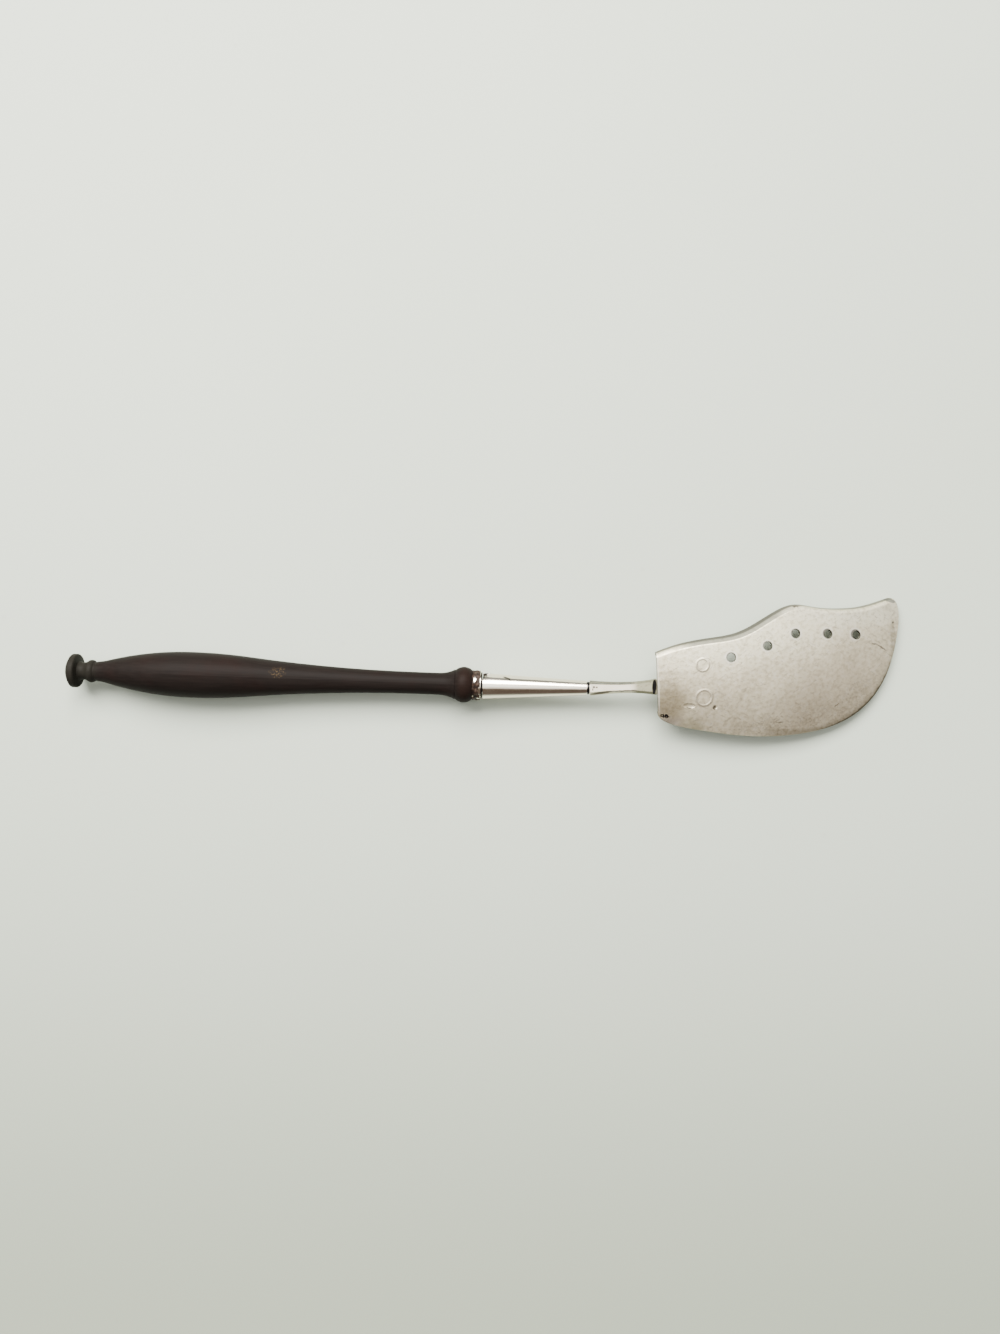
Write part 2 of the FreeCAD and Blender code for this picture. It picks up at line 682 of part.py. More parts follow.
def dish_form(name, inset):
    """Makes the solid under one face of the sheet: dished on top, leaning at the flange."""
    body = new_body(name)
    plan = new_sketch(body, name + "_plan", "XY_Plane")
    edge, points = flange_spline(plan, inset)
    far = -number("form_side")
    first, last = points[0], points[-1]
    down = add_line(plan, last, vector(last.x, far, 0))
    back = add_line(plan, vector(last.x, far, 0), vector(first.x, far, 0))
    up = add_line(plan, vector(first.x, far, 0), first)
    join(plan, (edge, 2), down[0])
    join(plan, down[1], back[0])
    join(plan, back[1], up[0])
    join(plan, up[1], (edge, 1))
    plan.addConstraint(Sketcher.Constraint("Vertical", down[0][0]))
    plan.addConstraint(Sketcher.Constraint("Horizontal", back[0][0]))
    plan.addConstraint(Sketcher.Constraint("Vertical", up[0][0]))
    dimension(plan, "DistanceY", (-1, 1) + back[0], "-Size.form_side", far)
    block = body.newObject("PartDesign::Pad", name + "_block")
    block.Profile = plan
    block.SideType = "Two sides"
    block.UseCustomVector = True
    block.Direction = vector(0, -math.tan(math.radians(number("flange_lean"))), 1)
    block.AlongSketchNormal = True
    block.setExpression("Length", "Size.form_headroom / 2")
    block.setExpression("Length2", "Size.form_depth")
    doc.recompute()
    before = block.Shape.Volume

    above = new_sketch(body, name + "_above", "YZ_Plane", "Size.crown_along")
    wall = number("sheet_thickness") if inset else 0
    wall_formula = " - Size.sheet_thickness" if inset else ""
    centre = vector(number("crown_side"), number("crown_rise") - number("cross_radius"), 0)
    radius = number("cross_radius") - wall
    reach = number("form_reach")
    top = number("crown_rise") + number("form_headroom")
    fall = math.sqrt(radius ** 2 - reach ** 2)
    left = centre + vector(-reach, fall, 0)
    right = centre + vector(reach, fall, 0)
    arc = add_arc(above, left, right, radius, True)
    rise = add_line(above, right, vector(right.x, top, 0))
    over = add_line(above, vector(right.x, top, 0), vector(left.x, top, 0))
    drop = add_line(above, vector(left.x, top, 0), left)
    join(above, arc[1], rise[0])
    join(above, rise[1], over[0])
    join(above, over[1], drop[0])
    join(above, drop[1], arc[0])
    dimension(above, "Radius", (arc[0][0],), "Size.cross_radius" + wall_formula, radius)
    dimension(above, "DistanceX", (-1, 1, arc[0][0], 3), "Size.crown_side", centre.x)
    dimension(above, "DistanceY", (-1, 1, arc[0][0], 3),
              "Size.crown_rise - Size.cross_radius", centre.y)
    dimension(above, "DistanceX", (arc[0][0], 3) + arc[1], "Size.form_reach", reach)
    dimension(above, "DistanceX", arc[0] + (arc[0][0], 3), "Size.form_reach", reach)
    above.addConstraint(Sketcher.Constraint("Vertical", rise[0][0]))
    above.addConstraint(Sketcher.Constraint("Vertical", drop[0][0]))
    dimension(above, "DistanceY", (-1, 1) + over[0], "Size.crown_rise + Size.form_headroom", top)
    dimension(above, "DistanceY", (-1, 1) + over[1], "Size.crown_rise + Size.form_headroom", top)
    axis_height = number("crown_rise") - number("long_radius")
    axis = above.addGeometry(Part.LineSegment(
        vector(left.x, axis_height, 0), vector(right.x, axis_height, 0)), True)
    dimension(above, "DistanceY", (-1, 1, axis, 1), "Size.crown_rise - Size.long_radius",
              axis_height)
    dimension(above, "DistanceY", (-1, 1, axis, 2), "Size.crown_rise - Size.long_radius",
              axis_height)
    dimension(above, "DistanceX", (-1, 1, axis, 2), "Size.crown_side + Size.form_reach",
              right.x)
    dimension(above, "DistanceX", (-1, 1, axis, 1), "Size.crown_side - Size.form_reach",
              left.x)
    doc.recompute()
    dish = body.newObject("PartDesign::Groove", name + "_dish")
    dish.Profile = above
    dish.ReferenceAxis = (above, ["Axis0"])
    dish.Angle = 70
    dish.Midplane = True
    doc.recompute()
    if dish.Shape.Volume > 0.9 * before:
        raise RuntimeError("the dish cut nothing from " + name)

    top_face = next(face for face in dish.Shape.Faces
                    if type(face.Surface).__name__ in ("Toroid", "SurfaceOfRevolution"))
    shoulder_edges = []
    for order, candidate in enumerate(dish.Shape.Edges):
        if not any(candidate.isSame(other) for other in top_face.Edges):
            continue
        middle = candidate.valueAt((candidate.FirstParameter + candidate.LastParameter) / 2)
        if first.x + 1 < middle.x < last.x - 1 and middle.y > 0:
            shoulder_edges.append("Edge%d" % (order + 1))
    shoulder = body.newObject("PartDesign::Fillet", name + "_shoulder")
    shoulder.Base = (dish, shoulder_edges)
    shoulder.setExpression("Radius", "Size.shoulder_radius" + wall_formula)
    doc.recompute()
    return body


def stands_upright(face):
    """Tells whether a face is a wall that stands straight up."""
    u_first, u_last, v_first, v_last = face.ParameterRange
    return abs(face.normalAt((u_first + u_last) / 2, (v_first + v_last) / 2).z) < 0.01


def make_blade(sheet):
    """Trims the pressed sheet to its outline, cuts its rim and drills its five holes."""
    body = new_body("trimmed_blade")
    body.BaseFeature = sheet
    doc.recompute()

    outline = new_sketch(body, "blade_outline", "XY_Plane")
    margin = number("outline_margin")
    points = [vector(along, side, 0) for along, side in BELLY_CURVE]
    curve = Part.BSplineCurve(points, None, None, False, 3, None, False)
    edge = outline.addGeometry(curve, False)
    outline.exposeInternalGeometry(edge)
    for order, point in enumerate(points):
        pole = (edge + 1 + order, 3)
        dimension(outline, "DistanceX", (-1, 1) + pole,
                  "Size.belly_point_%d_along" % order, point.x)
        dimension(outline, "DistanceY", (-1, 1) + pole,
                  "Size.belly_point_%d_side" % order, point.y)
    heel_top = vector(-number("heel_upper_along"), number("heel_upper_side"), 0)
    beyond = FLANGE_CURVE[-1][1] + margin
    heel = add_line(outline, points[-1], heel_top)
    rise = add_line(outline, heel_top, vector(heel_top.x, beyond, 0))
    over = add_line(outline, vector(heel_top.x, beyond, 0), vector(points[0].x, beyond, 0))
    drop = add_line(outline, vector(points[0].x, beyond, 0), points[0])
    join(outline, (edge, 2), heel[0])
    join(outline, heel[1], rise[0])
    join(outline, rise[1], over[0])
    join(outline, over[1], drop[0])
    join(outline, drop[1], (edge, 1))
    outline.addConstraint(Sketcher.Constraint("Vertical", rise[0][0]))
    outline.addConstraint(Sketcher.Constraint("Horizontal", over[0][0]))
    outline.addConstraint(Sketcher.Constraint("Vertical", drop[0][0]))
    dimension(outline, "DistanceX", (-1, 1) + rise[0], "-Size.heel_upper_along", heel_top.x)
    dimension(outline, "DistanceY", (-1, 1) + rise[0], "Size.heel_upper_side", heel_top.y)
    far_side = "Size.flange_point_%d_side + Size.outline_margin" % (len(FLANGE_CURVE) - 1)
    dimension(outline, "DistanceY", (-1, 1) + over[0], far_side, beyond)
    left = FLANGE_CURVE[0][0] - margin
    right = FLANGE_CURVE[-1][0] + margin
    far = -number("form_side") - margin
    left_formula = "Size.flange_point_0_along - Size.outline_margin"
    right_formula = ("Size.flange_point_%d_along + Size.outline_margin"
                     % (len(FLANGE_CURVE) - 1))
    far_formula = "-Size.form_side - Size.outline_margin"
    outer_formula = far_side + " + Size.outline_margin"
    polygon(outline, [
        (left_formula, left, far_formula, far),
        (right_formula, right, far_formula, far),
        (right_formula, right, outer_formula, beyond + margin),
        (left_formula, left, outer_formula, beyond + margin),
    ])
    doc.recompute()
    trim = body.newObject("PartDesign::Pocket", "blade_trim")
    trim.Profile = outline
    trim.Type = "ThroughAll"
    trim.Midplane = True
    doc.recompute()

    rim = new_sketch(body, "rim_side_view", "XZ_Plane", "-Size.rim_cut_side")
    rim.AttachmentOffset = FreeCAD.Placement(
        vector(0, 0, 0), FreeCAD.Rotation(vector(0, 1, 0), 1))
    rim.setExpression("AttachmentOffset.Rotation.Angle", "Size.rim_cut_turn")
    straight_end = vector(number("rim_straight"), number("rim_straight_z"), 0)
    curve_end = vector(straight_end.x + number("rim_curve_length"), number("rim_curve_z"), 0)
    far_end = vector(right, number("rim_end_z"), 0)
    floor = -number("form_depth") - margin
    start = vector(left, number("rim_start_z"), 0)
    line = add_line(rim, start, straight_end)
    bend = add_arc(rim, straight_end, curve_end, number("rim_curve_radius"), True)
    fall = add_line(rim, curve_end, far_end)
    down = add_line(rim, far_end, vector(right, floor, 0))
    under = add_line(rim, vector(right, floor, 0), vector(left, floor, 0))
    close = add_line(rim, vector(left, floor, 0), start)
    for first, second in ((line, bend), (bend, fall), (fall, down), (down, under),
                          (under, close), (close, line)):
        join(rim, first[1], second[0])
    dimension(rim, "DistanceX", (-1, 1) + line[0], left_formula, left)
    dimension(rim, "DistanceY", (-1, 1) + line[0], "Size.rim_start_z", start.y)
    dimension(rim, "DistanceX", (-1, 1) + line[1], "Size.rim_straight", straight_end.x)
    dimension(rim, "DistanceY", (-1, 1) + line[1], "Size.rim_straight_z", straight_end.y)
    dimension(rim, "DistanceX", line[1] + fall[0], "Size.rim_curve_length",
              number("rim_curve_length"))
    dimension(rim, "DistanceY", (-1, 1) + fall[0], "Size.rim_curve_z", curve_end.y)
    dimension(rim, "Radius", (bend[0][0],), "Size.rim_curve_radius",
              number("rim_curve_radius"))
    dimension(rim, "DistanceX", (-1, 1) + fall[1], right_formula, right)
    dimension(rim, "DistanceY", (-1, 1) + fall[1], "Size.rim_end_z", far_end.y)
    rim.addConstraint(Sketcher.Constraint("Vertical", down[0][0]))
    rim.addConstraint(Sketcher.Constraint("Horizontal", under[0][0]))
    rim.addConstraint(Sketcher.Constraint("Vertical", close[0][0]))
    dimension(rim, "DistanceY", (-1, 1) + under[0],
              "-Size.form_depth - Size.outline_margin", floor)
    doc.recompute()
    rim_cut = body.newObject("PartDesign::Pocket", "rim_cut")
    rim_cut.Profile = rim
    rim_cut.Type = "ThroughAll"
    doc.recompute()

    trimmed_edges = []
    for order, candidate in enumerate(rim_cut.Shape.Edges):
        middle = (candidate.FirstParameter + candidate.LastParameter) / 2
        upright = abs(candidate.tangentAt(middle).z) > 0.9
        beside = rim_cut.Shape.ancestorsOfType(candidate, Part.Face)
        if not upright and any(stands_upright(face) for face in beside):
            trimmed_edges.append("Edge%d" % (order + 1))
    rounding = body.newObject("PartDesign::Fillet", "edge_rounding")
    rounding.Base = (rim_cut, trimmed_edges)
    rounding.setExpression("Radius", "Size.edge_round")
    doc.recompute()

    for order in range(len(HOLES)):
        hole = body.newObject("PartDesign::SubtractiveCylinder", "hole_%d" % (order + 1))
        hole.AttachmentSupport = [(origin_plane(body, "XY_Plane"), "")]
        hole.MapMode = "FlatFace"
        hole.setExpression("Radius", "Size.hole_diameter / 2")
        hole.setExpression("Height", "Size.form_headroom")
        along = "Size.hole_point_%d_along" % order
        hole.AttachmentOffset = FreeCAD.Placement(
            vector(0, 0, 0), FreeCAD.Rotation(vector(0, 1, 0), 1))
        lean = "asin((%s - Size.crown_along) / Size.long_radius)" % along
        hole.setExpression("AttachmentOffset.Rotation.Angle", lean)
        drop = "Size.long_radius * (1 - cos(%s))" % lean
        hole.setExpression("AttachmentOffset.Base.x",
                           along + " - sin(%s) * Size.form_headroom / 2" % lean)
        hole.setExpression("AttachmentOffset.Base.y", "Size.hole_point_%d_side" % order)
        hole.setExpression("AttachmentOffset.Base.z",
                           "Size.crown_rise - %s - Size.form_headroom / 2" % drop)
        doc.recompute()
    place(body, "Size.heel_at", "Size.stem_end_y", "Size.stem_end_z")
    return body


fill_sheet()
handle = make_handle()
band = make_band()
glue = make_glue()
cone = make_cone()
shank = make_shank()

outside_form = dish_form("sheet_outside", False)
inside_form = dish_form("sheet_inside", True)
pressed_sheet = doc.addObject("Part::Cut", "pressed_sheet")
pressed_sheet.Base = outside_form
pressed_sheet.Tool = inside_form
doc.recompute()
trimmed_blade = make_blade(pressed_sheet)
punches = make_punches()
blade = doc.addObject("Part::Cut", "blade")
blade.Base = trimmed_blade
blade.Tool = punches
blade.Label = "blade"


# Tongue: the flat end of the stem under the blade. The sheet's underside shapes its top.
tongue_blank = new_body("tongue_blank")
tongue_plan = new_sketch(tongue_blank, "tongue_plan", "XY_Plane", "-Size.tongue_underside")
half_tongue = number("tongue_width") / 2
polygon(tongue_plan, [
    ("-Size.hollow_depth - Size.heel_gap", -number("hollow_depth") - number("heel_gap"),
     "-Size.tongue_width / 2", -half_tongue),
    ("Size.tongue_length", number("tongue_length"), "-Size.tongue_width / 2", -half_tongue),
    ("Size.tongue_length", number("tongue_length"), "Size.tongue_width / 2", half_tongue),
    ("-Size.hollow_depth - Size.heel_gap", -number("hollow_depth") - number("heel_gap"),
     "Size.tongue_width / 2", half_tongue),
])
tongue_pad = tongue_blank.newObject("PartDesign::Pad", "tongue_pad")
tongue_pad.Profile = tongue_plan
tongue_pad.setExpression("Length", "Size.form_headroom / 2")
doc.recompute()
tongue = doc.addObject("Part::Common", "tongue")
tongue.Base = tongue_blank
tongue.Tool = inside_form
place(tongue, "Size.heel_at", "Size.stem_end_y", "Size.stem_end_z")
stem = doc.addObject("Part::Fuse", "stem")
stem.Base = shank
stem.Tool = tongue
stem.Label = "stem"

# Cement: fills the cone round the tenon and the spigot.
cement_plug = new_body("cement_plug")
plug_profile = new_sketch(cement_plug, "plug_profile", "XZ_Plane")
taper = (number("cone_foot_diameter") - number("cone_end_diameter")) / 2 / number("cone_length")
plug_start = number("cement_setback")
plug_end = plug_start + number("cement_length")
bore = number("cone_foot_diameter") / 2 - number("cone_wall")
taper_formula = "(Size.cone_foot_diameter - Size.cone_end_diameter) / 2 / Size.cone_length"
bore_formula = "Size.cone_foot_diameter / 2 - Size.cone_wall - (%s) * " + taper_formula
polygon(plug_profile, [
    ("Size.cement_setback", plug_start, "0", 0),
    ("Size.cement_setback + Size.cement_length", plug_end, "0", 0),
    ("Size.cement_setback + Size.cement_length", plug_end,
     bore_formula % "Size.cement_setback + Size.cement_length", bore - plug_end * taper),
    ("Size.cement_setback", plug_start, bore_formula % "Size.cement_setback",
     bore - plug_start * taper),
])
turn(cement_plug, "plug", plug_profile)
place(cement_plug, "Size.cone_at", "Size.cone_side", yaw="Size.cone_bend")
bored_plug = doc.addObject("Part::Cut", "bored_plug")
bored_plug.Base = cement_plug
bored_plug.Tool = handle
cement = doc.addObject("Part::Cut", "cement_filling")
cement.Base = bored_plug
cement.Tool = stem
cement.Label = "cement_filling"
doc.recompute()

sub_parts = [handle, band, glue, cone, cement, stem, blade]
for item in doc.Objects:
    if "Invalid" in item.State or "Error" in item.State:
        raise RuntimeError("failed object: " + item.Label)
for part in sub_parts:
    if not part.Shape.isValid() or len(part.Shape.Solids) != 1:
        raise RuntimeError("bad shape: " + part.Label)

os.makedirs("parts", exist_ok=True)
for part in sub_parts:
    part.Shape.exportStep("parts/%s.step" % part.Label)
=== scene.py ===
import math

import bmesh
import bpy
from mathutils import Matrix, Vector, noise


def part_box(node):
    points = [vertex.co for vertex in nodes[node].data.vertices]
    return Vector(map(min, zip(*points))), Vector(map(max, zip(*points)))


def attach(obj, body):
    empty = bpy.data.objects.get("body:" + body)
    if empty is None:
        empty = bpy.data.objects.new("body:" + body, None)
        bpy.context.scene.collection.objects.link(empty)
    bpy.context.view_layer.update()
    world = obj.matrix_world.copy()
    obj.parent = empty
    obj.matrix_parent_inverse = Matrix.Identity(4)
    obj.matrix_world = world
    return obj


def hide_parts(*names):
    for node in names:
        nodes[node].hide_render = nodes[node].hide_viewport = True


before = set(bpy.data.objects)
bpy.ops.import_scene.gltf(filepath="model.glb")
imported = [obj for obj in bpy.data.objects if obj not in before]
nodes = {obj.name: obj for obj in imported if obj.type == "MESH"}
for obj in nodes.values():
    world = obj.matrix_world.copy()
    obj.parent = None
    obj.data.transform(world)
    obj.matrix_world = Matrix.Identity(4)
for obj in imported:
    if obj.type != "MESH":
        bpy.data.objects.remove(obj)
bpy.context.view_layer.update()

# Sardine server on a pale table, the back of its blade up. +X runs from the handle's knob to the
# tip of the blade, +Y to the blade's turned-down edge and +Z up. Sizes are in millimetres.
MM = 0.001

# The camera looks straight down, turned a little, so that the server slopes gently in its frame.
CAMERA_PLACE = (3.70, -3.05, 250.4)
CAMERA_TURN = 2.08
CAMERA_LENS = 36.06

# Places along the server, read from its pieces.
CONE_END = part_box("ferrule_cone")[1].x / MM
BLADE_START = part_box("blade")[0].x / MM
RING_LOW, RING_HIGH = [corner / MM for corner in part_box("ferrule_base_ring")]
# How far to one side the line lies that the handle is turned about.
HANDLE_SIDE = -7.675

# Middles of the five drain holes, from the heel of the blade to its tip.
HOLES = ((59.12, 1.34), (67.90, 4.41), (74.72, 7.66), (82.79, 7.99), (90.12, 8.14))
HOLE_RADIUS = 1.125
# Blank punch marks near the heel: the middle and the two half sizes of each.
PUNCH_MARKS = (((52.4, -0.8), (1.45, 1.45)), ((53.3, -8.7), (1.85, 1.85)))
# Near the tip the blade's curved edge runs round one centre.
EDGE_CENTRE = (77.07, 7.37)
EDGE_RADIUS = 23.87

# Small marks on the blade: the middle, the two half sizes and the turn in degrees of each.
SPECKS = (((100.2, 11.5), (0.24, 0.24), 0), ((74.7, 14.2), (0.8, 0.22), 0),
          ((55.9, -10.9), (0.42, 0.58), 0), ((49.7, -11.3), (0.75, 0.17), 0))
SCRATCHES = (((95.3, 5.95), (0.8, 0.17), -6), ((97.2, 5.25), (1.8, 0.14), -27),
             ((72.6, -14.1), (0.9, 0.14), 12), ((86.6, -9.4), (0.8, 0.12), 38))
# Marks on the ferrule: the scratch and its tick, then the torn foot and the chip beside it.
FERRULE_MARKS = (((5.35, -5.62), (0.80, 0.17), -14), ((6.1, -5.92), (0.19, 0.30), -20),
                 ((0.15, -5.0), (1.0, 0.34), 32), ((-0.2, -5.4), (0.26, 0.6), 0))
# Marks on the stem: pits beside the ferrule, and the filed groove in its two lengths.
STEM_PITS = (((26.65, -7.1), (0.32, 0.26), 0), ((27.35, -7.15), (0.24, 0.22), 0),
             ((26.4, -7.7), (0.15, 0.34), 0))
STEM_GROOVE = (((28.5, -8.42), (2.9, 0.30), 10.5), ((34.1, -7.70), (3.4, 0.15), 4.5))


def linear(colour):
    """Turns an sRGB colour, written in hex, into linear light."""
    parts = [int(colour[start:start + 2], 16) / 255 for start in (1, 3, 5)]
    return [part / 12.92 if part <= 0.04045 else ((part + 0.055) / 1.055) ** 2.4
            for part in parts] + [1.0]


def add(tree, kind, inputs=None, **settings):
    """Adds a shader node with its settings, and gives each input a value or a link."""
    made = tree.nodes.new("ShaderNode" + kind)
    for name, value in settings.items():
        setattr(made, name, value)
    for name, value in (inputs or {}).items():
        if isinstance(value, bpy.types.NodeSocket):
            tree.links.new(value, made.inputs[name])
        else:
            made.inputs[name].default_value = value
    return made


def new_material(name):
    """Makes an empty material, and gives it, its nodes, its shader and a place in millimetres.

    A pattern laid out by that place has a scale in marks for each millimetre.
    """
    material = bpy.data.materials.new(name)
    material.use_nodes = True
    tree = material.node_tree
    tree.nodes.clear()
    shader = add(tree, "BsdfPrincipled")
    add(tree, "OutputMaterial", {"Surface": shader.outputs["BSDF"]})
    place = add(tree, "VectorMath", {0: add(tree, "TexCoord").outputs["Object"],
                                     "Scale": 1 / MM}, operation="SCALE").outputs[0]
    return material, tree, shader, place


def shaken(tree, place, size, reach):
    """Gives a place that wanders by up to the reach, so that a mark gets a ragged outline."""
    wander = add(tree, "TexNoise", {"Vector": place, "Scale": 1 / size, "Detail": 4.0})
    centred = add(tree, "VectorMath", {0: wander.outputs["Color"], 1: (0.5, 0.5, 0.5)},
                  operation="SUBTRACT")
    moved = add(tree, "VectorMath", {0: centred.outputs[0], "Scale": 2 * reach},
                operation="SCALE")
    return add(tree, "VectorMath", {0: place, 1: moved.outputs[0]}).outputs[0]


def oval(tree, place, middle, radii, turn=0.0, softness=0.3):
    """Gives 1 inside an upright oval column and 0 outside it, for a mark seen from above."""
    squeezed = add(tree, "Mapping", {"Vector": place, "Location": (*middle, 0.0),
                                     "Rotation": (0.0, 0.0, math.radians(turn)),
                                     "Scale": (*radii, 1000.0)}, vector_type="TEXTURE")
    reach = add(tree, "VectorMath", {0: squeezed.outputs[0]}, operation="LENGTH")
    return add(tree, "MapRange", {"Value": reach.outputs["Value"], "From Min": 1 + softness,
                                  "From Max": 1 - softness},
               interpolation_type="SMOOTHSTEP").outputs[0]


def any_of(tree, masks):
    """Gives the strongest of several masks."""
    strongest = masks[0]
    for mask in masks[1:]:
        strongest = add(tree, "Math", {0: strongest, 1: mask}, operation="MAXIMUM").outputs[0]
    return strongest


def marks_at(tree, place, marks):
    """Gives 1 inside each of several small marks and 0 elsewhere."""
    return any_of(tree, [oval(tree, place, middle, radii, turn=turn)
                         for middle, radii, turn in marks])


def tinted(tree, colour, stains):
    """Lays stains, each a mask, its strength and its colour, one over the other on a colour."""
    for mask, strength, stain in stains:
        share = add(tree, "Math", {0: mask, 1: strength}, operation="MULTIPLY")
        colour = add(tree, "Mix", {0: share.outputs[0], 6: colour, 7: linear(stain)},
                     data_type="RGBA").outputs[2]
    return colour


def dress(name, material):
    """Gives a node of the frame its material."""
    piece = nodes[name]
    piece.data.materials.clear()
    piece.data.materials.append(material)


# Light: a bright ceiling over greyer walls, a dim near side, and a wide soft window beyond the
# blade's turned-down edge. Polished silver mirrors these as its light and dark bands.
world = bpy.data.worlds.new("room")
world.use_nodes = True
bpy.context.scene.world = world
room = world.node_tree
room.nodes.clear()
direction = add(room, "SeparateXYZ", {0: add(room, "TexCoord").outputs["Generated"]})
sideways = add(room, "Math", {0: direction.outputs[0]}, operation="ABSOLUTE")
ceiling = add(room, "MapRange", {"Value": direction.outputs[2], "From Min": 0.30,
                                 "From Max": 0.66}, interpolation_type="SMOOTHSTEP")
dim_side = 1.0
for value, start, full in ((direction.outputs[1], -0.12, -0.42),
                           (direction.outputs[2], 0.14, 0.28), (sideways.outputs[0], 0.95, 0.55)):
    edge = add(room, "MapRange", {"Value": value, "From Min": start, "From Max": full},
               interpolation_type="SMOOTHSTEP")
    dim_side = add(room, "Math", {0: dim_side, 1: edge.outputs[0]},
                   operation="MULTIPLY").outputs[0]
walls = add(room, "Mix", {0: ceiling.outputs[0], 6: linear("#989B98"), 7: linear("#FFFFFC")},
            data_type="RGBA")
room_colour = add(room, "Mix", {0: dim_side, 6: walls.outputs[2], 7: linear("#6B5F57")},
                  data_type="RGBA")
overhead = add(room, "MapRange", {"Value": direction.outputs[2], "From Min": 0.86,
                                  "From Max": 0.97, "To Min": 1.0, "To Max": 2.8},
               interpolation_type="SMOOTHSTEP")
background = add(room, "Background", {"Color": room_colour.outputs[2],
                                      "Strength": overhead.outputs[0]})
add(room, "OutputWorld", {"Surface": background.outputs[0]})


def soft_light(name, place, aim, width, depth, power, colour):
    """Adds a wide soft light that faces a point."""
    data = bpy.data.lights.new(name, "AREA")
    data.shape = "RECTANGLE"
    data.size = width
    data.size_y = depth
    data.energy = power
    data.color = linear(colour)[:3]
    lamp = bpy.data.objects.new(name, data)
    lamp.location = place
    lamp.rotation_euler = (Vector(aim) - Vector(place)).to_track_quat("-Z", "Y").to_euler()
    bpy.context.scene.collection.objects.link(lamp)


soft_light("window", place=(-0.16, 0.42, 0.58), aim=(0.0, 0.0, 0.0), width=0.7, depth=0.42,
           power=27.0, colour="#FFFDF8")

# Camera
camera_data = bpy.data.cameras.new("camera")
camera_data.sensor_fit = "HORIZONTAL"
camera_data.sensor_width = 36.0
camera_data.lens = CAMERA_LENS
camera_data.clip_start = 0.01
camera = bpy.data.objects.new("camera", camera_data)
camera.location = Vector(CAMERA_PLACE) * MM
camera.rotation_euler = (0.0, 0.0, math.radians(CAMERA_TURN))
bpy.context.scene.collection.objects.link(camera)
bpy.context.scene.camera = camera


def finish_piece(mesh, name, material):
    """Turns finished mesh work into a piece."""
    data = bpy.data.meshes.new(name)
    mesh.to_mesh(data)
    mesh.free()
    piece = bpy.data.objects.new(name, data)
    bpy.context.scene.collection.objects.link(piece)
    data.materials.append(material)
    return piece


# Table: plain pale laminate, matt, with a faint cloudiness and a few specks of dust, and
# painted shade darkening it towards its near end.
laminate, tree, shader, place = new_material("pale_laminate")
cloud = add(tree, "TexNoise", {"Vector": place, "Scale": 0.006, "Detail": 2.0})
tint = add(tree, "Mix", {0: cloud.outputs[0], 6: linear("#ADB5A6"), 7: linear("#B6BDB1")},
           data_type="RGBA")
position = add(tree, "SeparateXYZ", {0: place})
painted_shade_near_end = add(tree, "MapRange", {"Value": position.outputs[1], "From Min": -20.0,
                                  "From Max": -170.0}, interpolation_type="SMOOTHSTEP")
dust = add(tree, "TexVoronoi", {"Vector": place, "Scale": 0.05})
speck = add(tree, "MapRange", {"Value": dust.outputs["Distance"], "From Min": 0.05,
                               "From Max": 0.02})
table_colour = tinted(tree, tint.outputs[2], [(speck.outputs[0], 0.14, "#9A968C"),
                                              (painted_shade_near_end.outputs[0], 1.0, "#969D8D")])
tree.links.new(table_colour, shader.inputs["Base Color"])
shader.inputs["Roughness"].default_value = 0.62
mesh = bmesh.new()
bmesh.ops.create_grid(mesh, x_segments=1, y_segments=1, size=1.5)
table = finish_piece(mesh, "table", laminate)

# Turned blackwood: very dark brown with fine streaks along the handle, worn to a low sheen,
# redder on the collar bead, greyer on the knob, and rubbed through to brown on one small patch.
blackwood, tree, shader, place = new_material("turned_blackwood")
along = add(tree, "Mapping", {"Vector": place, "Scale": (0.05, 1.0, 1.0)})
streaks = add(tree, "TexNoise", {"Vector": along.outputs[0], "Scale": 2.2, "Detail": 6.0})
patches = add(tree, "TexNoise", {"Vector": place, "Scale": 0.09, "Detail": 3.0})
specks = add(tree, "TexNoise", {"Vector": place, "Scale": 3.0, "Detail": 4.0})
brown = add(tree, "Mix", {0: streaks.outputs[0], 6: linear("#0F0C0B"), 7: linear("#1D1816")},
            data_type="RGBA")
redder = add(tree, "MapRange", {"Value": patches.outputs[0], "From Min": 0.5,
                                "From Max": 0.72})
bead = oval(tree, place, (RING_LOW.x - 1.6, HANDLE_SIDE), (1.9, 6.0), softness=0.5)
knob = oval(tree, place, (-103.0, HANDLE_SIDE), (8.5, 9.0), softness=0.2)
rubbed = add(tree, "MapRange", {"Value": specks.outputs[0], "From Min": 0.50,
                                "From Max": 0.62})
worn_place = shaken(tree, place, 1.2, 0.8)
worn_fleck = add(tree, "Math", {0: rubbed.outputs[0],
                                1: oval(tree, worn_place, (-49.7, -6.2), (1.7, 1.2))},
                 operation="MULTIPLY").outputs[0]
wood_colour = tinted(tree, brown.outputs[2], [(redder.outputs[0], 0.3, "#1F100D"),
                                              (bead, 0.5, "#1F1410"), (knob, 0.7, "#201F1B"),
                                              (worn_fleck, 0.55, "#57462F")])
tree.links.new(wood_colour, shader.inputs["Base Color"])
shader.inputs["Specular IOR Level"].default_value = 0.03
sheen = add(tree, "MapRange", {"Value": streaks.outputs[0], "To Min": 0.42, "To Max": 0.54})
tree.links.new(sheen.outputs[0], shader.inputs["Roughness"])
grain = add(tree, "Bump", {"Height": streaks.outputs[0], "Strength": 0.12, "Distance": 0.0002})
tree.links.new(grain.outputs[0], shader.inputs["Normal"])
dress("wooden_handle", blackwood)

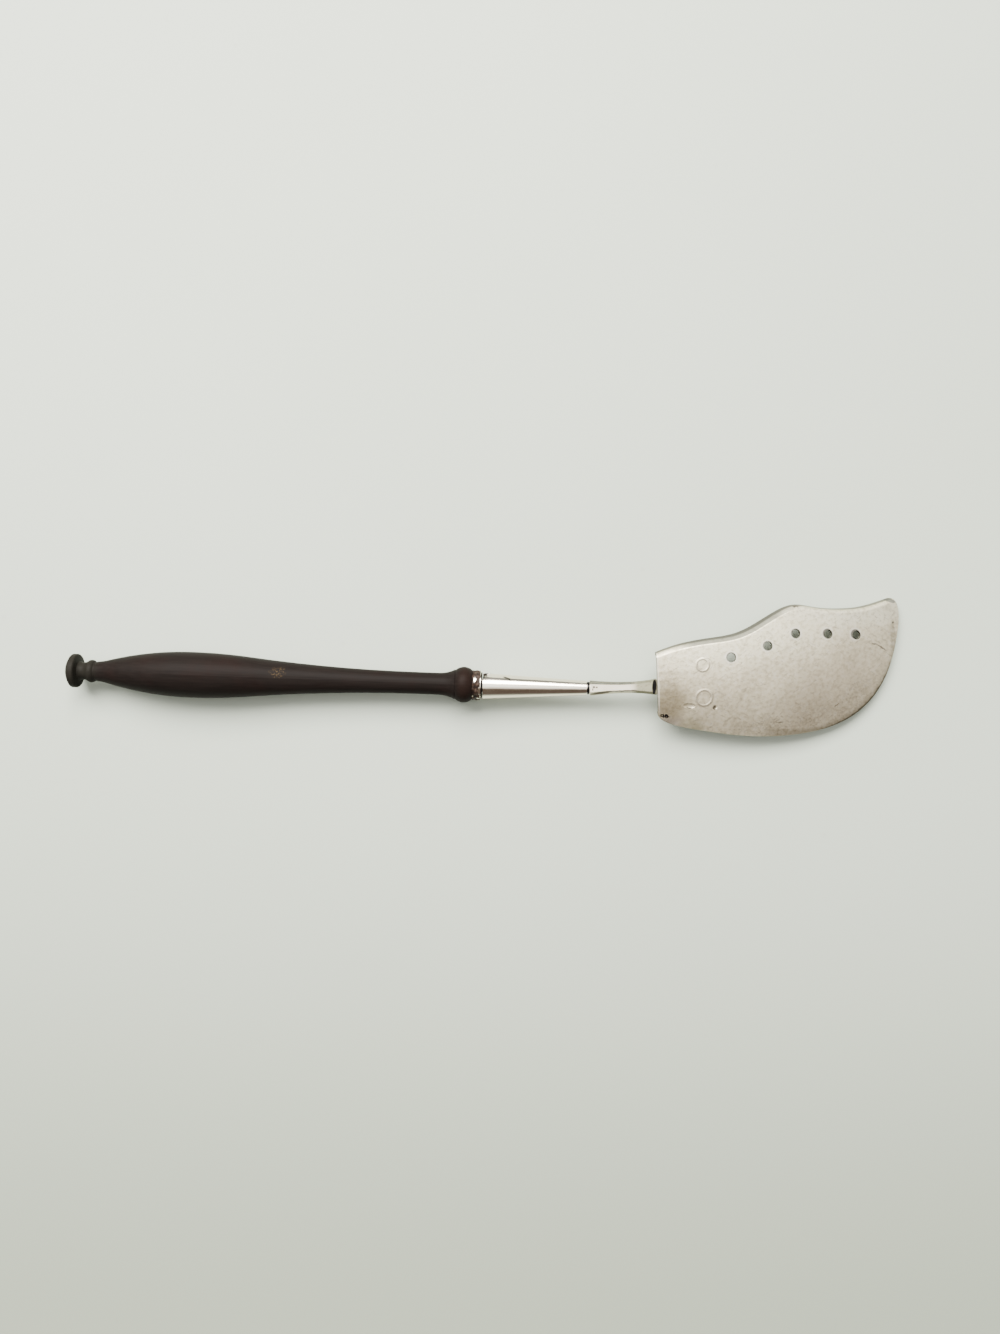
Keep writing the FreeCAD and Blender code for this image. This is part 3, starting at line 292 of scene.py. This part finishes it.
# Old hide glue: brown crust, half glossy, lumpy and nearly black in its hollows.
glue, tree, shader, place = new_material("old_hide_glue")
lumps = add(tree, "TexNoise", {"Vector": place, "Scale": 1.3, "Detail": 6.0})
depth = add(tree, "MapRange", {"Value": lumps.outputs[0], "From Min": 0.36, "From Max": 0.66})
glue_colour = add(tree, "Mix", {0: depth.outputs[0], 6: linear("#110B09"),
                                7: linear("#3A2B22")}, data_type="RGBA")
tree.links.new(glue_colour.outputs[2], shader.inputs["Base Color"])
shader.inputs["Roughness"].default_value = 0.45
shader.inputs["Specular IOR Level"].default_value = 0.12
crust = add(tree, "Bump", {"Height": lumps.outputs[0], "Strength": 0.5, "Distance": 0.0003})
tree.links.new(crust.outputs[0], shader.inputs["Normal"])
dress("old_glue", glue)

# Crust of old glue: a tube round the silver band, raised into lumps. Where a bare patch
# lies, the tube dips under the band and the silver shows.
AXIS = Vector((0.0, (RING_LOW.y + RING_HIGH.y) / 2, (RING_LOW.z + RING_HIGH.z) / 2))
RING_RADIUS = (RING_HIGH.y - RING_LOW.y) / 2
CRUST_START = RING_LOW.x - 0.05
CRUST_END = RING_HIGH.x - 0.12
CRUST_THICKNESS = 0.13
CRUST_RADIUS = 3.4
CRUST_WALL = 0.12
LUMP_HEIGHT = 0.20
LUMPS_PER_MM = 1.1
GRAIN_HEIGHT = 0.10
GRAINS_PER_MM = 3.1
OUTLINE_WANDER = 0.5
WANDERS_PER_MM = 1.9
BARE_DIP = 0.5
BARE_STEEPNESS = 3
BARE_DEPTH = 0.09
STEPS_ROUND = 144
CUTS_ALONG = 17
# Bare patches: place along, angle from the top towards the near side, and half sizes of both.
BARE_PATCHES = ((-2.3, -27.0, 0.26, 16.0), (-1.05, 22.0, 0.52, 22.0), (-1.2, 72.0, 0.5, 9.0),
                (-1.6, 160.0, 0.5, 22.0), (-2.2, -110.0, 0.3, 20.0))


def crust_height(along, angle):
    """Height of the crust above the silver band at a place along and an angle from the top."""
    round_place = Vector((along, CRUST_RADIUS * math.sin(angle), CRUST_RADIUS * math.cos(angle)))
    height = CRUST_THICKNESS + LUMP_HEIGHT * noise.noise(round_place * LUMPS_PER_MM)
    height += GRAIN_HEIGHT * noise.noise(round_place * GRAINS_PER_MM)
    wander = OUTLINE_WANDER * noise.noise(round_place * WANDERS_PER_MM)
    for middle, turn, length, width in BARE_PATCHES:
        around = (math.degrees(angle) - turn + 180) % 360 - 180
        away = math.hypot((along - middle) / length, around / width) + wander
        if away < 1:
            height -= BARE_DIP * min(1.0, BARE_STEEPNESS * (1 - away))
    return max(height, -BARE_DEPTH)


mesh = bmesh.new()
CRUST_LENGTH = CRUST_END - CRUST_START
bmesh.ops.create_cone(mesh, cap_ends=False, segments=STEPS_ROUND, radius1=RING_RADIUS,
                      radius2=RING_RADIUS, depth=CRUST_LENGTH)
bmesh.ops.rotate(mesh, verts=mesh.verts, matrix=Matrix.Rotation(math.radians(90), 3, "Y"))
lengthways = [edge for edge in mesh.edges
              if abs(edge.verts[0].co.x - edge.verts[1].co.x) > CRUST_LENGTH / 2]
bmesh.ops.subdivide_edges(mesh, edges=lengthways, cuts=CUTS_ALONG, use_grid_fill=True)
bmesh.ops.translate(mesh, verts=mesh.verts, vec=(0.5 * (CRUST_START + CRUST_END), 0.0, 0.0))
for point in mesh.verts:
    angle = math.atan2(-point.co.y, point.co.z)
    radius = RING_RADIUS + crust_height(point.co.x, angle)
    point.co = Vector((point.co.x, -radius * math.sin(angle), radius * math.cos(angle))) + AXIS
bmesh.ops.recalc_face_normals(mesh, faces=mesh.faces)
bmesh.ops.solidify(mesh, geom=mesh.faces[:], thickness=CRUST_WALL)
bmesh.ops.scale(mesh, verts=mesh.verts, vec=(MM, MM, MM))
for face in mesh.faces:
    face.smooth = True
glue_crust = finish_piece(mesh, "glue_crust", glue)
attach(glue_crust, "root")
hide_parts("old_glue")

# Set cement: almost black, dull, seen only in the cracks.
cement, tree, shader, place = new_material("set_cement")
crumbs = add(tree, "TexNoise", {"Vector": place, "Scale": 2.5, "Detail": 3.0})
cement_colour = add(tree, "Mix", {0: crumbs.outputs[0], 6: linear("#120F0D"),
                                  7: linear("#29211C")}, data_type="RGBA")
tree.links.new(cement_colour.outputs[2], shader.inputs["Base Color"])
shader.inputs["Roughness"].default_value = 0.85
dress("cement_filling", cement)

# Polished silver of the ferrule: bright, with faint streaks along it from years of rubbing,
# a dark scratch on its upper side and a dark torn foot.
polished, tree, shader, place = new_material("polished_silver")
along = add(tree, "Mapping", {"Vector": place, "Scale": (0.12, 1.0, 1.0)})
rub = add(tree, "TexNoise", {"Vector": along.outputs[0], "Scale": 1.8, "Detail": 6.0})
silver_colour = add(tree, "Mix", {0: rub.outputs[0], 6: linear("#E2D6C2"),
                                  7: linear("#F8F1E2")}, data_type="RGBA")
ragged = shaken(tree, place, 0.5, 0.10)
dark_marks = marks_at(tree, ragged, FERRULE_MARKS)
silver_colour = tinted(tree, silver_colour.outputs[2], [(dark_marks, 0.97, "#15110E")])
tree.links.new(silver_colour, shader.inputs["Base Color"])
shader.inputs["Metallic"].default_value = 1.0
gloss = add(tree, "MapRange", {"Value": rub.outputs[0], "To Min": 0.10, "To Max": 0.22})
tree.links.new(gloss.outputs[0], shader.inputs["Roughness"])
dress("ferrule_cone", polished)
dress("ferrule_base_ring", polished)

# Worn silver of the stem: filed facets rubbed bright, with painted shade on the facets facing
# the far side; dull near the blade, where the grey-green is a painted reflection of the table;
# black dirt in the neck behind the ferrule, and painted shade blackening the hollow under the
# heel.
worn, tree, shader, place = new_material("worn_silver")
position = add(tree, "SeparateXYZ", {0: place})
wear = add(tree, "TexNoise", {"Vector": place, "Scale": 0.9, "Detail": 6.0})
flecks = add(tree, "TexNoise", {"Vector": place, "Scale": 2.4, "Detail": 4.0})
ragged = shaken(tree, place, 0.8, 0.15)
stem_colour = add(tree, "Mix", {0: wear.outputs[0], 6: linear("#E6DBC5"),
                                7: linear("#FFF7E3")}, data_type="RGBA")
# Near the blade the silver is dull, and the grey-green laid there is a painted reflection.
dull_and_painted_reflection = add(tree, "MapRange", {"Value": position.outputs[0], "From Min": 35.0,
                              "From Max": 37.6}, interpolation_type="SMOOTHSTEP").outputs[0]
fleck = add(tree, "MapRange", {"Value": flecks.outputs[0], "From Min": 0.56, "From Max": 0.66})
brown_fleck = add(tree, "Math", {0: fleck.outputs[0], 1: dull_and_painted_reflection}, operation="MULTIPLY").outputs[0]
neck = add(tree, "MapRange", {"Value": position.outputs[0], "From Min": CONE_END + 0.72,
                              "From Max": CONE_END + 0.6}).outputs[0]
pits = marks_at(tree, ragged, STEM_PITS)
groove = marks_at(tree, ragged, STEM_GROOVE)
# Facets that face the far side are greyed with painted shade.
facing = add(tree, "SeparateXYZ", {0: add(tree, "TexCoord").outputs["Normal"]})
painted_shade_far_facet = add(tree, "MapRange", {"Value": facing.outputs[1], "From Min": 0.25,
                                   "From Max": 0.5}).outputs[0]
# The hollow under the heel is blackened as painted shade; the black in the neck is dirt.
painted_shade_hollow = oval(tree, place, (BLADE_START + 0.15, -6.5), (0.55, 1.85), softness=0.15)
dirt_and_painted_shade = any_of(tree, [neck, painted_shade_hollow])
stem_colour = tinted(tree, stem_colour.outputs[2], [
    (painted_shade_far_facet, 0.6, "#7F8079"),
    (dull_and_painted_reflection, 0.9, "#7D7C67"),
    (brown_fleck, 0.6, "#66543F"),
    (pits, 0.85, "#3F332B"),
    (groove, 0.85, "#44382F"),
    (dirt_and_painted_shade, 1.0, "#0B0908")])
tree.links.new(stem_colour, shader.inputs["Base Color"])
clean = add(tree, "Math", {0: 1.0, 1: dirt_and_painted_shade}, operation="SUBTRACT")
tree.links.new(clean.outputs[0], shader.inputs["Metallic"])
gloss = add(tree, "MapRange", {"Value": wear.outputs[0], "To Min": 0.16, "To Max": 0.26})
stem_rough = add(tree, "Mix", {0: dull_and_painted_reflection, 2: gloss.outputs[0], 3: 0.55})
tree.links.new(stem_rough.outputs[0], shader.inputs["Roughness"])
file_marks = add(tree, "Bump", {"Height": wear.outputs[0], "Strength": 0.10,
                                "Distance": 0.0002})
tree.links.new(file_marks.outputs[0], shader.inputs["Normal"])
shader.inputs["Specular IOR Level"].default_value = 0.1
dress("stem", worn)

# Satin silver of the blade: hammered flat and burnished by hand, mottled with light tarnish,
# finely pitted at the heel and along the curved edge, with painted highlights round the drilled
# holes; other highlights, shade and reflections are painted into its colour in places too.
satin, tree, shader, place = new_material("satin_silver")
position = add(tree, "SeparateXYZ", {0: place})
facing = add(tree, "SeparateXYZ", {0: add(tree, "TexCoord").outputs["Normal"]})
wide = shaken(tree, place, 6.0, 2.5)
ragged = shaken(tree, place, 0.7, 0.35)
blotches = add(tree, "TexNoise", {"Vector": place, "Scale": 0.14, "Detail": 7.0,
                                  "Roughness": 0.6})
satin_colour = add(tree, "Mix", {0: blotches.outputs[0], 6: linear("#DDD0B2"),
                                 7: linear("#F8EDD2")}, data_type="RGBA")

# Grain of the burnished sheet, dull and bright, with fine hairlines drawn across it both ways.
mottle = add(tree, "TexNoise", {"Vector": place, "Scale": 1.1, "Detail": 5.0})
dull_grain = add(tree, "MapRange", {"Value": mottle.outputs[0], "From Min": 0.50,
                                    "From Max": 0.64}).outputs[0]
bright_grain = add(tree, "MapRange", {"Value": mottle.outputs[0], "From Min": 0.48,
                                      "From Max": 0.36}).outputs[0]
strokes = []
for turn in (38, -24):
    drawn_out = add(tree, "Mapping", {"Vector": ragged,
                                      "Rotation": (0.0, 0.0, math.radians(turn)),
                                      "Scale": (2.8, 0.45, 1.0)}, vector_type="TEXTURE")
    strands = add(tree, "TexNoise", {"Vector": drawn_out.outputs[0], "Scale": 1.2,
                                     "Detail": 2.0})
    strokes.append(add(tree, "MapRange", {"Value": strands.outputs[0], "From Min": 0.62,
                                          "From Max": 0.70}).outputs[0])
hairlines = any_of(tree, strokes)

# Pits lie thick at the heel and along the lower edge.
pitting = add(tree, "TexNoise", {"Vector": place, "Scale": 1.9, "Detail": 6.0,
                                 "Roughness": 0.65})
pit = add(tree, "MapRange", {"Value": pitting.outputs[0], "From Min": 0.46,
                             "From Max": 0.66}).outputs[0]
pitted = any_of(tree, [oval(tree, wide, (43.6, -9.0), (3.4, 6.5), softness=0.5),
                       oval(tree, wide, (70.0, -15.6), (9.0, 1.9), softness=0.6),
                       oval(tree, wide, (90.0, -8.5), (8.5, 2.8), turn=52, softness=0.6),
                       oval(tree, wide, (80.0, -13.0), (6.0, 3.0), turn=22, softness=0.6)])
pits = add(tree, "Math", {0: pit, 1: pitted}, operation="MULTIPLY").outputs[0]

# Black dirt crumbles in a small patch at the heel.
crumbs = add(tree, "TexNoise", {"Vector": place, "Scale": 2.4, "Detail": 3.0})
crumb = add(tree, "MapRange", {"Value": crumbs.outputs[0], "From Min": 0.38,
                               "From Max": 0.43}).outputs[0]
dirt_patch = oval(tree, ragged, (44.2, -13.5), (1.5, 0.62), turn=-8)
dirt = add(tree, "Math", {0: crumb, 1: dirt_patch}, operation="MULTIPLY").outputs[0]
specks = marks_at(tree, ragged, SPECKS)
scratches = marks_at(tree, ragged, SCRATCHES)

# Each drilled hole gets a painted shade rim inside a painted highlight ring.
HALO_RADIUS = HOLE_RADIUS + 0.455
RIM_RADIUS = HOLE_RADIUS + 0.075
painted_highlight_halos = any_of(tree, [oval(tree, place, middle, (HALO_RADIUS, HALO_RADIUS), softness=0.12)
                      for middle in HOLES])
painted_shade_hole_rims = any_of(tree, [oval(tree, place, middle, (RIM_RADIUS, RIM_RADIUS), softness=0.05)
                          for middle in HOLES])

# Each punch mark has a raised lip, with a painted highlight on it and painted shade along its
# lower edge.
LIP_OUTSIDE = 0.25
LIP_INSIDE = 0.15
LIP_SHADE = (0.10, 0.32)
lips = []
shades = []
for middle, radii in PUNCH_MARKS:
    outer = oval(tree, place, middle, [size + LIP_OUTSIDE for size in radii], softness=0.12)
    inner = oval(tree, place, middle, [size - LIP_INSIDE for size in radii], softness=0.12)
    lit_middle = (middle[0] + LIP_SHADE[0], middle[1] + LIP_SHADE[1])
    lit = oval(tree, place, lit_middle, radii, softness=0.12)
    lips.append(add(tree, "Math", {0: outer, 1: inner}, operation="SUBTRACT").outputs[0])
    shades.append(add(tree, "Math", {0: outer, 1: lit}, operation="SUBTRACT",
                      use_clamp=True).outputs[0])
lip_and_painted_highlight = any_of(tree, lips)
lip_shade = any_of(tree, shades)

# Tarnish has gathered in a narrow band along the curved edge, near the tip, and the last half
# millimetre of that edge is bruised dark.
within_band = oval(tree, ragged, (70.85, 13.85), (31.7, 27.5), turn=-45, softness=0.02)
past_band = add(tree, "Math", {0: 1.0, 1: within_band}, operation="SUBTRACT")
near_tip = oval(tree, wide, (86.0, -9.0), (18.0, 9.0), turn=38, softness=0.4)
edge_tarnish = add(tree, "Math", {0: past_band.outputs[0], 1: near_tip},
                   operation="MULTIPLY").outputs[0]
BRUISE_WIDTH = 0.42
BRUISE_START = EDGE_RADIUS - BRUISE_WIDTH
within_edge = oval(tree, ragged, EDGE_CENTRE, (BRUISE_START, BRUISE_START), softness=0.010)
past_edge = add(tree, "Math", {0: 1.0, 1: within_edge}, operation="SUBTRACT")
bruised = oval(tree, wide, (92.5, -7.8), (11.5, 5.0), turn=52, softness=0.35)
dark_edge = add(tree, "Math", {0: past_edge.outputs[0], 1: bruised},
                operation="MULTIPLY").outputs[0]

# The turned-down edge is dull from the heel to the peak of the blade, and its grey-green there
# is a painted reflection of the table. The sheet's cut edge and its steep faces get painted
# shade all round, and its hollow side has gone a pale grey.
bent = add(tree, "MapRange", {"Value": facing.outputs[1], "From Min": 0.11, "From Max": 0.24})
past_heel = add(tree, "MapRange", {"Value": position.outputs[0], "From Min": 45.0,
                                   "From Max": 50.0, "To Min": 0.5})
before_peak = add(tree, "MapRange", {"Value": position.outputs[0], "From Min": 79.0,
                                     "From Max": 70.0, "To Min": 0.25})
turned_down_dull_and_painted_reflection = add(tree, "Math", {0: bent.outputs[0], 1: past_heel.outputs[0]},
                  operation="MULTIPLY")
turned_down_dull_and_painted_reflection = add(tree, "Math", {0: turned_down_dull_and_painted_reflection.outputs[0], 1: before_peak.outputs[0]},
                  operation="MULTIPLY").outputs[0]
painted_shade_cut_edge = add(tree, "MapRange", {"Value": facing.outputs[2], "From Min": 0.62,
                                  "From Max": 0.30}).outputs[0]
hollow_side = add(tree, "MapRange", {"Value": facing.outputs[2], "From Min": -0.1,
                                     "From Max": -0.4}).outputs[0]

# Painted highlights, painted shade and stains, named for where they lie.
# The crown and tip shines are painted highlights.
painted_highlight_crown = oval(tree, wide, (63.0, 5.5), (21.0, 5.0), turn=14, softness=0.7)
painted_highlight_tip = any_of(tree, [oval(tree, wide, (97.0, 14.0), (6.0, 3.2), turn=10, softness=0.5),
                          oval(tree, wide, (84.0, 12.8), (13.0, 2.4), softness=0.6)])
tip_tarnish = oval(tree, ragged, (100.5, 7.0), (0.75, 4.6), turn=5, softness=0.5)
# The grey tip facet is painted shade where the corner bends down, and the tip stain is painted
# shade for the dim reflection across the blade's lower right.
painted_shade_tip_facet = oval(tree, place, (99.5, 16.95), (1.45, 0.52), turn=-15, softness=0.15)
painted_shade_tip_side = oval(tree, wide, (86.0, -7.0), (15.0, 9.0), turn=35, softness=0.6)
heel_stain = oval(tree, wide, (44.5, -10.5), (4.5, 5.0), softness=0.7)
heel_corner_stain = oval(tree, wide, (45.4, -15.0), (2.8, 2.0), softness=0.6)
lower_edge_stain = oval(tree, wide, (50.8, -15.9), (2.6, 1.8), softness=0.6)
# The bright heel edge is a painted highlight, and the crease is a painted shade line.
painted_highlight_heel_edge = oval(tree, place, (41.75, -3.6), (0.30, 9.0), turn=6.4, softness=0.2)
painted_shade_crease = oval(tree, wide, (45.5, -2.7), (3.6, 0.5), turn=6, softness=0.6)

satin_colour = tinted(tree, satin_colour.outputs[2], [
    (painted_highlight_crown, 0.75, "#FFF8DA"),
    (painted_highlight_tip, 0.8, "#FFF8DE"),
    (hairlines, 0.4, "#857866"),
    (tip_tarnish, 0.5, "#857B60"),
    (dull_grain, 0.34, "#A99C82"),
    (bright_grain, 0.34, "#FFF8E8"),
    (heel_stain, 0.7, "#8D7F60"),
    (heel_corner_stain, 0.45, "#9C8F8E"),
    (lower_edge_stain, 0.45, "#9F9B77"),
    (painted_shade_tip_side, 0.38, "#AD9A84"),
    (pits, 0.42, "#74655A"),
    (lip_and_painted_highlight, 0.3, "#EFE6D4"),
    (lip_shade, 0.45, "#8A7F6E"),
    (painted_shade_tip_facet, 0.85, "#74756E"),
    (painted_shade_crease, 0.35, "#9A8D76"),
    (painted_highlight_heel_edge, 0.5, "#FFF9EC"),
    (edge_tarnish, 0.45, "#726754"),
    (painted_highlight_halos, 0.6, "#FFF9EA"),
    (painted_shade_hole_rims, 0.8, "#45443F"),
    (scratches, 0.75, "#5F5446"),
    (turned_down_dull_and_painted_reflection, 0.8, "#74766F"),
    (dark_edge, 0.8, "#423D33"),
    (painted_shade_cut_edge, 0.75, "#45433B"),
    (hollow_side, 0.85, "#D6CCD1"),
    (specks, 0.8, "#3C342D"),
    (dirt, 1.0, "#0B0807")])
tree.links.new(satin_colour, shader.inputs["Base Color"])
clean = add(tree, "Math", {0: 1.0, 1: dirt}, operation="SUBTRACT")
tree.links.new(clean.outputs[0], shader.inputs["Metallic"])
gloss = add(tree, "MapRange", {"Value": blotches.outputs[0], "To Min": 0.40, "To Max": 0.52})
blade_rough = add(tree, "Mix", {0: turned_down_dull_and_painted_reflection, 2: gloss.outputs[0], 3: 0.8})
tree.links.new(blade_rough.outputs[0], shader.inputs["Roughness"])
relief = add(tree, "Math", {0: mottle.outputs[0], 1: 0.6, 2: lip_and_painted_highlight}, operation="MULTIPLY_ADD")
dents = add(tree, "Bump", {"Height": relief.outputs[0], "Strength": 0.30, "Distance": 0.0002})
tree.links.new(dents.outputs[0], shader.inputs["Normal"])
shader.inputs["Specular IOR Level"].default_value = 0.1
dress("blade", satin)
